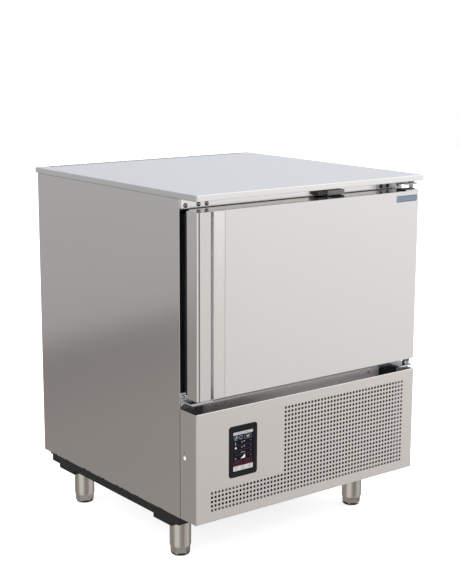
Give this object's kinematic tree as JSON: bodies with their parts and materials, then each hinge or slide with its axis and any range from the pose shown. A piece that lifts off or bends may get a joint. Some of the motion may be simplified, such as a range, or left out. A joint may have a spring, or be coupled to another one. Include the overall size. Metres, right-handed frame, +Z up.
{
  "type": "blast chiller",
  "caption": "Free-standing stainless blast chiller with a side-hinged insulated door, full-height handle, perforated service panel with touch display, and adjustable feet.",
  "frame": {"origin": "on the floor, under the middle of the worktop, with the feet at their rest height", "axes": "+Z up, -Y towards the person opening the door, +X to the right, seen from the front"},
  "size_m": [0.8, 0.815, 1.025],
  "materials": {
    "worktop_steel": "satin",
    "core_board": "matte",
    "panel_steel": "satin",
    "front_steel": "satin",
    "door_steel": "satin",
    "liner_steel": "satin",
    "foam": "matte",
    "galvanised": "satin",
    "black_metal": "satin",
    "leg_steel": "satin",
    "pad_rubber": "matte",
    "white_plastic": "satin",
    "bezel_plastic": "satin",
    "screen_glass": "gloss",
    "dark_plastic": "matte",
    "compressor_paint": "gloss",
    "coil_fins": "satin",
    "copper": "satin",
    "zinc": "satin",
    "screw_steel": "satin",
    "switch_plastic": "matte",
    "gasket_rubber": "matte",
    "blank_plate": "satin",
    "fan_blades": "satin",
    "pipe_plastic": "matte"
  },
  "bodies": {
    "cabinet": {"worktop": "worktop_steel", "worktop_core": "core_board", "side_panel_left": "panel_steel", "side_panel_right": "panel_steel", "back_panel": "galvanised", "face_frame": "front_steel", "cabinet_insulation": "foam", "inner_liner": "liner_steel", "galvanised_casing": "galvanised", "base_pan": "black_metal", "cross_members": "black_metal", "leg_tubes": "leg_steel", "service_panel": "front_steel", "panel_side_plug": "white_plastic", "display_bezel": "bezel_plastic", "display_glass": "screen_glass", "display_housing": "dark_plastic", "electrical_box": "galvanised", "compressor": "compressor_paint", "compressor_mounts": "pad_rubber", "condenser_coil": "coil_fins", "condenser_shroud": "galvanised", "condenser_fan_motor": "dark_plastic", "filter_drier": "copper", "liquid_receiver": "compressor_paint", "refrigerant_pipes": "copper", "drain_pipe": "pipe_plastic", "cable_glands": "dark_plastic", "evaporator_coil": "coil_fins", "fan_baffle": "liner_steel", "evaporator_fan_motor": "dark_plastic", "tray_runners_left": "liner_steel", "tray_runners_right": "liner_steel", "top_hinge_plate": "zinc", "bottom_hinge_bracket": "zinc", "hinge_pins": "zinc", "spare_hinge_plate": "front_steel", "door_rest_bracket": "zinc", "door_rest_pad": "dark_plastic", "door_switch": "switch_plastic", "casing_screws": "screw_steel"},
    "door": {"door_skin": "door_steel", "door_handle": "door_steel", "door_foam": "foam", "door_liner": "dark_plastic", "door_inner_panel": "liner_steel", "door_gasket": "gasket_rubber", "door_hinge_bushes": "dark_plastic", "door_magnet": "dark_plastic", "door_badge_plate": "blank_plate"},
    "condenser_fan": {"condenser_fan": "fan_blades"},
    "evaporator_fan": {"evaporator_fan": "fan_blades"},
    "foot_front_left": {"adjuster_front_left": "leg_steel", "foot_pad_front_left": "pad_rubber"},
    "foot_front_right": {"adjuster_front_right": "leg_steel", "foot_pad_front_right": "pad_rubber"},
    "foot_rear_left": {"adjuster_rear_left": "leg_steel", "foot_pad_rear_left": "pad_rubber"},
    "foot_rear_right": {"adjuster_rear_right": "leg_steel", "foot_pad_rear_right": "pad_rubber"}
  },
  "joints": [
    {"name": "door_hinge", "type": "hinge", "parent": "cabinet", "child": "door", "pos_m": [0.38, -0.377, 0.7], "axis": [0, 0, 1], "range_deg": [0, 105]},
    {"name": "adjuster_front_left", "type": "slide", "parent": "cabinet", "child": "foot_front_left", "axis": [0, 0, -1], "range_m": [-0.01, 0.03]},
    {"name": "adjuster_front_right", "type": "slide", "parent": "cabinet", "child": "foot_front_right", "axis": [0, 0, -1], "range_m": [-0.01, 0.03]},
    {"name": "adjuster_rear_left", "type": "slide", "parent": "cabinet", "child": "foot_rear_left", "axis": [0, 0, -1], "range_m": [-0.01, 0.03]},
    {"name": "adjuster_rear_right", "type": "slide", "parent": "cabinet", "child": "foot_rear_right", "axis": [0, 0, -1], "range_m": [-0.01, 0.03]},
    {"name": "condenser_fan_spin", "type": "hinge", "parent": "cabinet", "child": "condenser_fan", "pos_m": [0.14, -0.18, 0.29], "axis": [0, -1, 0], "continuous": true},
    {"name": "evaporator_fan_spin", "type": "hinge", "parent": "cabinet", "child": "evaporator_fan", "pos_m": [0, 0.133, 0.73], "axis": [0, -1, 0], "continuous": true}
  ]
}
